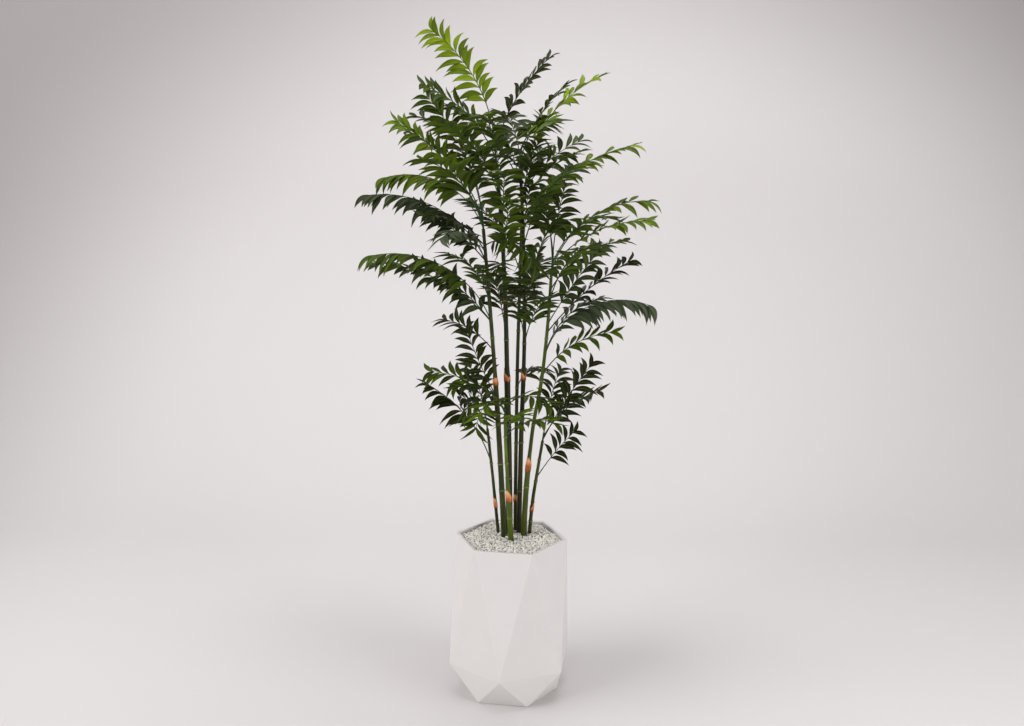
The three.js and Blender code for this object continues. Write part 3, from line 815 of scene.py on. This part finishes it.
sideFronds = {
    "a": [[(640, 184, 74, 28, 110, 195, -20, -25, 0.20)]],
    "b": [
        [(838, 176, 60, 72, 50, 160, -110, 6, 0.05), (838, 172, 36, 0, 35, 170, -40, 0, 0.40)],
        [(1226, 222, 60, -10, 40, 200, -20, 0, 0.20)],
        [(966, 148, 44, 2, 60, 125, -30, 20, 0.12)],
        [
            (1044, 180, 50, 0, 80, 300, -10, -8, 0.50),
            (1044, 190, 54, 22, 40, 220, -50, 0, 0.28),
            (1044, 186, 70, -18, 120, 300, 0, -40, 0.60),
        ],
        [(1182, 239, 72, -30, 70, 200, 0, -20, 0.30)],
        [(1098, 236, 66, 4, 50, 200, 0, 0, 0.35)],
        [(1204, 188, 66, -14, 110, 295, 0, -45, 0.10), (1204, 192, 50, 26, 40, 200, -50, 0, 0.16)],
        [(1246, 306, 24, -48, 40, 215, 0, -30, 0.45)],
    ],
    "c": [
        [(735, 285, 58, -6, 50, 170, 10, 8, 0.60), (735, 345, 56, -20, 40, 120, 10, 0, 0.65)],
    ],
    "d": [
        [(990, 104, 62, 8, 90, 240, 0, 8, 0.25)],
        [(1180, 274, 70, 6, 70, 250, 0, 8, 0.60), (1180, 262, 30, -30, 50, 130, 0, 0, 0.40)],
        [(1270, 272, 64, 0, 80, 245, 0, 8, 0.50)],
        [(1360, 234, 68, 4, 80, 260, 10, 8, 0.55), (1360, 266, 74, 10, 60, 180, 20, 0, 0.45)],
        [(1400, 158, 66, 4, 90, 250, -20, 8, 0.30)],
    ],
    "e": [
        [(850, 60, 50, -40, 40, 150, 0, -10, 0.15)],
        [(1010, 72, 62, 8, 90, 240, 10, 8, 0.25)],
        [(1170, 130, 64, 10, 90, 250, 0, 8, 0.25)],
        [(1270, 40, 64, 10, 90, 250, 10, 8, 0.30)],
    ],
    "f": [
        [(978, 288, 60, 4, 70, 240, 10, 8, 0.35), (978, 256, 70, 10, 70, 160, 0, 0, 0.25)],
        [(1050, 264, 56, -6, 80, 220, 0, 8, 0.30), (1050, 298, 80, 46, 90, 200, 20, 8, 0.45)],
        [(1240, 298, 66, 14, 80, 250, 20, 8, 0.50), (1240, 276, 76, 30, 60, 150, 0, 0, 0.35)],
        [(1320, 356, 54, 10, 100, 275, 20, -5, 0.72)],
        [(1350, 320, 60, 10, 60, 190, 20, 8, 0.50), (1350, 286, 76, 20, 60, 170, 0, 0, 0.30)],
        [(1420, 356, 80, 22, 100, 260, 20, 10, 0.85)],
    ],
    "g": [
        [(900, 350, 60, 4, 60, 182, 30, 8, 0.55)],
        [(950, 350, 76, -26, 110, 265, 0, -55, 0.25), (950, 26, 76, 4, 60, 195, 0, 0, 0.30)],
        [(1016, 14, 52, 26, 100, 215, 10, 8, 0.15)],
        [(1040, 338, 60, 50, 66, 190, 70, 8, 0.40)],
        [(1100, 292, 60, 4, 80, 240, 10, 8, 0.45), (1100, 230, 40, -10, 50, 110, 0, 0, 0.30)],
        [(1130, 20, 60, 0, 70, 200, 15, 6, 0.45)],
    ],
    "h": [[(600, 350, 60, 46, 70, 110, 60, 6, 0.10)]],
}

frondShape = {
    "pairPitch": (25, 18),  # on the shortest blades, on full ones
    "leastPairs": 5,
    "leafySpan": 0.88,  # of the blade; the last pair grows at its end
    "ribSides": 6,
    "ribStep": 9,
    "petioleRadius": 1.9,
    "tipRadius": 0.7,
    "taper": 0.8,
    "step": 5,  # for walking along the rib's bend
    "stagger": 0.22,  # of the pitch, between the two leaflets of a pair
    "shake": 1,
    "fullBlade": 240,  # from this length of blade on, the leaflets have their full size
    "leastShare": 0.78,
}

leaflet = {
    "length": 82,
    "lengths": (0.85, 1.1),  # shortest and longest, as shares of that
    "width": 17.5,
    "widths": (0.85, 1.1),
    "narrowerAtTip": 0.2,
    "shorterAtTip": 0.31,
    "shorterAtRoot": 0.16,
    "spreadAtBase": 60,  # degrees between the rib and the line to the leaflet's tip
    "spreadAtTip": 46,
    "lastSpread": 40,
    "spreadShake": 12,
    "sweep": 30,  # the blade leaves the rib this much closer, and ends this much wider
    "sweeps": (0.7, 1.2),
    "raise": 20,  # most that chance lifts or lowers it, in degrees
    "twist": 42,  # most that chance turns its tip, in degrees
    "droop": 0.16,
    "droops": (0.6, 1.4),
    "droopCurve": 1.8,
    "fold": 0.34,
    "foldCurve": 1.3,
    "thickness": 0.6,
    "sideThickness": 0.6,  # as a share of that
    "tipThickness": 0.35,
    "toneShake": 0.13,
    "outline": [  # (place along, width there as a share of the widest)
        (0.0, 0.09), (0.07, 0.2), (0.17, 0.5), (0.29, 0.82), (0.41, 1.0), (0.53, 0.98), (0.65, 0.8),
        (0.77, 0.54), (0.88, 0.28), (0.95, 0.11), (1.0, 0.02),
    ],
    "across": (-1.0, -0.52, 0.0, 0.52, 1.0),
    "veins": 5,  # on each half, which puts them about 1.7 mm apart
}

longLeafed = {"b3": 1.6}  # crown fronds whose lower leaflets are longer
paintedSheenFronds = {"b4": 0.15, "b5": 0.5, "g2": 0.45, "g4": 0.2, "b7": 0.15}  # painted sheen: a pale grey cast on some side fronds


def makeLeafSkin():
    material, shader = newMaterial("leafSkin", 0.4, 1.45)  # waxy upper skin with fine veins along the blade
    tone, across, under, paintedSheen = (addNode(material, "Attribute", output="Fac", attribute_name=name)
                                  for name in ("tone", "across", "under", "paintedSheen"))
    mottle = patches(material, 35, 3.0)
    uneven = addNode(material, "Math", {0: mottle, 1: 0.24, 2: -0.06}, operation="MULTIPLY_ADD")
    # the frond's tone holds its own green together with painted light and shade
    shade = addNode(material, "Math", {0: tone, 1: uneven}, operation="ADD")
    green = addNode(material, "ValToRGB", {0: shade}, stops=[
        (0.0, "#040702"), (0.25, "#0D1503"), (0.5, "#293905"), (0.75, "#546A09"), (1.0, "#869C18")])
    turns = addNode(material, "Math", {0: across, 1: leaflet["veins"] * 2 * math.pi}, operation="MULTIPLY")
    veins = addNode(material, "Math", {0: turns}, operation="SINE")
    faint = addNode(material, "Math", {0: veins, 1: 0.05, 2: 0.05}, operation="MULTIPLY_ADD")
    away = addNode(material, "Math", {0: across}, operation="ABSOLUTE")
    apart = addNode(material, "Math", {0: away, 1: 9.0}, operation="MULTIPLY")
    midrib = addNode(material, "Math", {0: 1.0, 1: apart}, operation="SUBTRACT", use_clamp=True)
    bright = addNode(material, "Math", {0: midrib, 1: 0.3}, operation="MULTIPLY")
    below = addNode(material, "Math", {0: under, 1: 0.3}, operation="MULTIPLY")
    colour = green
    # the last colour, mixed in on some fronds, is painted sheen
    for share, over in ((faint, "#8FA044"), (bright, "#93A650"), (below, "#465A22"), (paintedSheen, "#66705A")):
        colour = addNode(material, "Mix", {0: share, 6: colour, 7: linear(over)}, 2, data_type="RGBA")
    shallow = addNode(material, "Math", {0: veins, 1: 0.35}, operation="MULTIPLY")
    relief = addNode(material, "Math", {0: midrib, 1: 0.8, 2: shallow}, operation="MULTIPLY_ADD")
    ridges = addNode(material, "Bump", {"Height": relief, "Distance": 0.18 * mm, "Strength": 0.6})
    dull = addNode(material, "Math", {0: under, 1: 0.15, 2: 0.27}, operation="MULTIPLY_ADD")
    gloss = addNode(material, "Math", {0: mottle, 1: 0.2, 2: dull}, operation="MULTIPLY_ADD")
    connect(material, shader, {"Base Color": colour, "Normal": ridges})
    connect(material, shader, {"Roughness": gloss, "Specular IOR Level": 0.1})
    return material


def makeRibSkin():
    material, shader = newMaterial("ribSkin", 0.45, 1.45)  # the frond's stalk: smooth, a more even green
    tone = addNode(material, "Attribute", output="Fac", attribute_name="tone")
    fibres = patches(material, 2.0, 2.0)
    bright = addNode(material, "Math", {0: tone, 1: 0.7}, operation="MULTIPLY")
    shade = addNode(material, "Math", {0: fibres, 1: 0.3, 2: bright}, operation="MULTIPLY_ADD")
    green = addNode(material, "ValToRGB", {0: shade}, stops=[
        (0.05, "#16240F"), (0.5, "#2E4A19"), (0.95, "#54742B")])
    connect(material, shader, {"Base Color": green})
    return material


def ribFrames(start, row, distances):
    _, azimuth, rise, fall, petiole, blade, roll = row[:7]
    heading = math.radians(azimuth)
    turn = math.radians(roll)
    level = Vector((-math.sin(heading), math.cos(heading), 0))

    def frameAt(distance, point):
        angle = math.radians(mix(rise, fall, distance / (petiole + blade)))
        flat = math.cos(angle)
        along = Vector((flat * math.cos(heading), flat * math.sin(heading), math.sin(angle)))
        upright = along.cross(level)
        side = level * math.cos(turn) + upright * math.sin(turn)
        up = upright * math.cos(turn) - level * math.sin(turn)
        return point.copy(), along, side, up

    frames, walked, point = [], 0.0, start.copy()
    for distance in distances:
        while walked < distance - 1e-6:
            stride = min(frondShape["step"], distance - walked)
            along = frameAt(walked + stride / 2, point)[1]
            point += along * stride
            walked += stride
        frames.append(frameAt(distance, point))
    return frames


def addRib(builder, start, row):
    petiole, blade, tone = row[4], row[5], row[8]
    length = petiole + blade * frondShape["leafySpan"]
    count = int(length / frondShape["ribStep"])
    distances = [length * i / count for i in range(count + 1)]
    sides = frondShape["ribSides"]
    previous = None
    for distance, (point, _, side, up) in zip(distances, ribFrames(start, row, distances)):
        share = distance / length
        radius = mix(frondShape["petioleRadius"], frondShape["tipRadius"], share ** frondShape["taper"])
        ring = []
        for i in range(sides):
            angle = 2 * math.pi * i / sides
            arm = side * math.cos(angle) + up * math.sin(angle)
            ring.append(builder.add(point + arm * radius, tone=tone))
        if previous:
            builder.ring(previous, ring, 1)
        else:
            builder.face(tuple(reversed(ring)), 1)
        previous = ring
    builder.face(tuple(previous), 1)


def addLeaflet(builder, draw, frame, hand, share, scale, lift, tone, spread=None):
    point, along, side, up = frame
    shorter = leaflet["shorterAtTip"] * share ** 2 + leaflet["shorterAtRoot"] * (1 - share) ** 3

    def chance(most):
        return draw.uniform(-leaflet[most], leaflet[most])

    length = scale * leaflet["length"] * (1 - shorter) * draw.uniform(*leaflet["lengths"])
    narrower = leaflet["narrowerAtTip"] * share
    width = scale * leaflet["width"] * (1 - narrower) * draw.uniform(*leaflet["widths"])
    raised = math.radians(lift + chance("raise"))
    out = side * (hand * math.cos(raised)) + up * math.sin(raised)
    if spread is None:
        spread = mix(leaflet["spreadAtBase"], leaflet["spreadAtTip"], share)
    spread += chance("spreadShake")
    sweep = leaflet["sweep"] * draw.uniform(*leaflet["sweeps"])
    normal = along.cross(out) * hand
    twist = math.radians(chance("twist"))
    droop = leaflet["droop"] * draw.uniform(*leaflet["droops"])
    bright = tone + chance("toneShake")
    places = leaflet["outline"]
    centre = []
    walked = point.copy()
    for i, (place, _) in enumerate(places):
        if i:
            middle = (place + places[i - 1][0]) / 2
            angle = math.radians(spread + sweep * (2 * middle - 1))
            stride = (place - places[i - 1][0]) * length
            walked = walked + (along * math.cos(angle) + out * math.sin(angle)) * stride
        centre.append(walked - Vector((0, 0, droop * length * place ** leaflet["droopCurve"])))
    rows = []
    for i, (place, fullness) in enumerate(places):
        ahead = centre[min(i + 1, len(centre) - 1)] - centre[max(i - 1, 0)]
        ahead.normalize()
        face = (normal - ahead * normal.dot(ahead)).normalized()
        sideways = ahead.cross(face)
        angle = twist * place
        cross = sideways * math.cos(angle) + face * math.sin(angle)
        face = face * math.cos(angle) - sideways * math.sin(angle)
        half = width / 2 * fullness
        top, low = [], []
        for c in leaflet["across"]:
            lifted = leaflet["fold"] * half * abs(c) ** leaflet["foldCurve"]
            spot = centre[i] + cross * (half * c) + face * lifted
            top.append(builder.add(spot, tone=bright, across=c, under=0.0))
            if abs(c) < 1:
                depth = leaflet["thickness"] * mix(leaflet["tipThickness"], 1, fullness)
                if c:
                    depth *= leaflet["sideThickness"]
                low.append(builder.add(spot - face * depth, tone=bright, across=c, under=1.0))
        rows.append((top, [top[0]] + low + [top[-1]]))
    for (top, low), (nextTop, nextLow) in zip(rows, rows[1:]):
        for j in range(len(top) - 1):
            builder.face((top[j], nextTop[j], nextTop[j + 1], top[j + 1]))
            builder.face((low[j], low[j + 1], nextLow[j + 1], nextLow[j]))
    for (top, low), flip in ((rows[0], False), (rows[-1], True)):
        for j in range(len(top) - 1):
            corners = [top[j], top[j + 1], low[j + 1], low[j]]
            corners = list(dict.fromkeys(corners))
            builder.face(tuple(reversed(corners)) if flip else tuple(corners))


def addFrond(builder, draw, start, row, stretch=1.0):  # of the leaflets nearest the root
    petiole, blade, lift, tone = row[4], row[5], row[7], row[8]
    addRib(builder, start, row)
    fullness = min(1, blade / frondShape["fullBlade"])
    scale = mix(frondShape["leastShare"], 1, fullness)
    span = blade * frondShape["leafySpan"]
    pairs = max(frondShape["leastPairs"], round(span / mix(*frondShape["pairPitch"], fullness)))
    pitch = span / pairs
    stations = []
    for pair in range(pairs):
        for hand in (1, -1):
            stagger = frondShape["stagger"] if hand > 0 else 0
            shake = draw.uniform(-frondShape["shake"], frondShape["shake"])
            stations.append((petiole + (pair + stagger) * pitch + shake, hand, pair / pairs))
    stations.sort()
    frames = ribFrames(start, row, [s[0] for s in stations] + [petiole + span])
    for (_, hand, share), frame in zip(stations, frames):
        addLeaflet(builder, draw, frame, hand, share, scale * mix(stretch, 1, share), lift, tone)
    for hand in (1, -1):
        addLeaflet(builder, draw, frames[-1], hand, 1.0, scale, lift, tone, leaflet["lastSpread"])


def addCrownStem(builder, cane, stemTop):
    top = cane["line"][-1][2]
    wide = caneShape["stemShare"] * stepped(cane["thickness"], top)
    sides, sunk = caneShape["stemSides"], caneShape["stemSunk"]
    angles = [2 * math.pi * i / sides for i in range(sides)]
    arms = [Vector((math.cos(a), math.sin(a), 0)) for a in angles]
    rings = []
    for height in (top - sunk, top + sunk / 2, mix(top, stemTop, 0.5), stemTop):
        share = clamp((height - top) / max(stemTop - top, 1))
        radius = mix(wide, min(wide, caneShape["stemTip"]), share)
        middle = lineAt(cane["line"], height)
        rings.append([builder.add(middle + arm * radius, tone=caneShape["stemTone"]) for arm in arms])
    builder.face(tuple(reversed(rings[0])), 1)
    for lower, upper in zip(rings, rings[1:]):
        builder.ring(lower, upper, 1)
    builder.face(tuple(rings[-1]), 1)


def makeFoliage(skin, stalk):
    for letter, groups in sideFronds.items():
        cane = canes[letter]
        for index, twins in enumerate(groups, 1):
            name = f"{letter}{index}"
            builder = Builder()
            draw = random.Random("frond" + name)
            for row in twins:
                addFrond(builder, draw, lineAt(cane["line"], row[0]), row)
            # painted sheen for this frond
            builder.mark("paintedSheen", paintedSheenFronds.get(name, 0.0))
            keep(builder.piece("leaves_" + name, [skin, stalk]), "leaf", "frond_" + name)
    for letter, rows in crowns.items():
        cane = canes[letter]
        builder = Builder()
        addCrownStem(builder, cane, max(row[0] for row in rows) + caneShape["stemBeyond"])
        for index, row in enumerate(rows, 1):
            name = f"{letter}{index}"
            draw = random.Random("crown" + name)
            addFrond(builder, draw, lineAt(cane["line"], row[0]), row, longLeafed.get(name, 1.0))
        keep(builder.piece("tuft_" + letter, [skin, stalk]), "leaf", "crown_" + letter)


bark = makeCaneBark()
fibre = makeSheathFibre()
for letter, cane in canes.items():
    makeCane(letter, bark)
    for index, span in enumerate(cane["sheaths"], 1):
        makeSheath(f"{letter}{index}", cane, span, fibre)
print("canes and sheaths made")

feet = []
for cane in canes.values():
    middle = lineAt(cane["line"], gravel["top"])
    feet.append((middle.x, middle.y, stepped(cane["thickness"], gravel["top"])))
makeGravel(makeMarble(), makeGravelBed(), feet)
print("gravel laid")

makeFoliage(makeLeafSkin(), makeRibSkin())
print("foliage made")


def makeFoam():
    material, shader = newMaterial("rigidFoam", 0.95, 1.4)  # cut florist's foam, open cells
    cells = patches(material, 2.5, 4.0)
    colour = addNode(material, "ValToRGB", {0: cells}, stops=[(0.35, "#2B2622"), (0.65, "#4A423A")])
    holes = addNode(material, "Bump", {"Height": cells, "Distance": 0.6 * mm, "Strength": 0.8})
    connect(material, shader, {"Base Color": colour, "Normal": holes})
    return material


block = frame["nodes"]["filling_block"]
block.data.materials.clear()
block.data.materials.append(makeFoam())
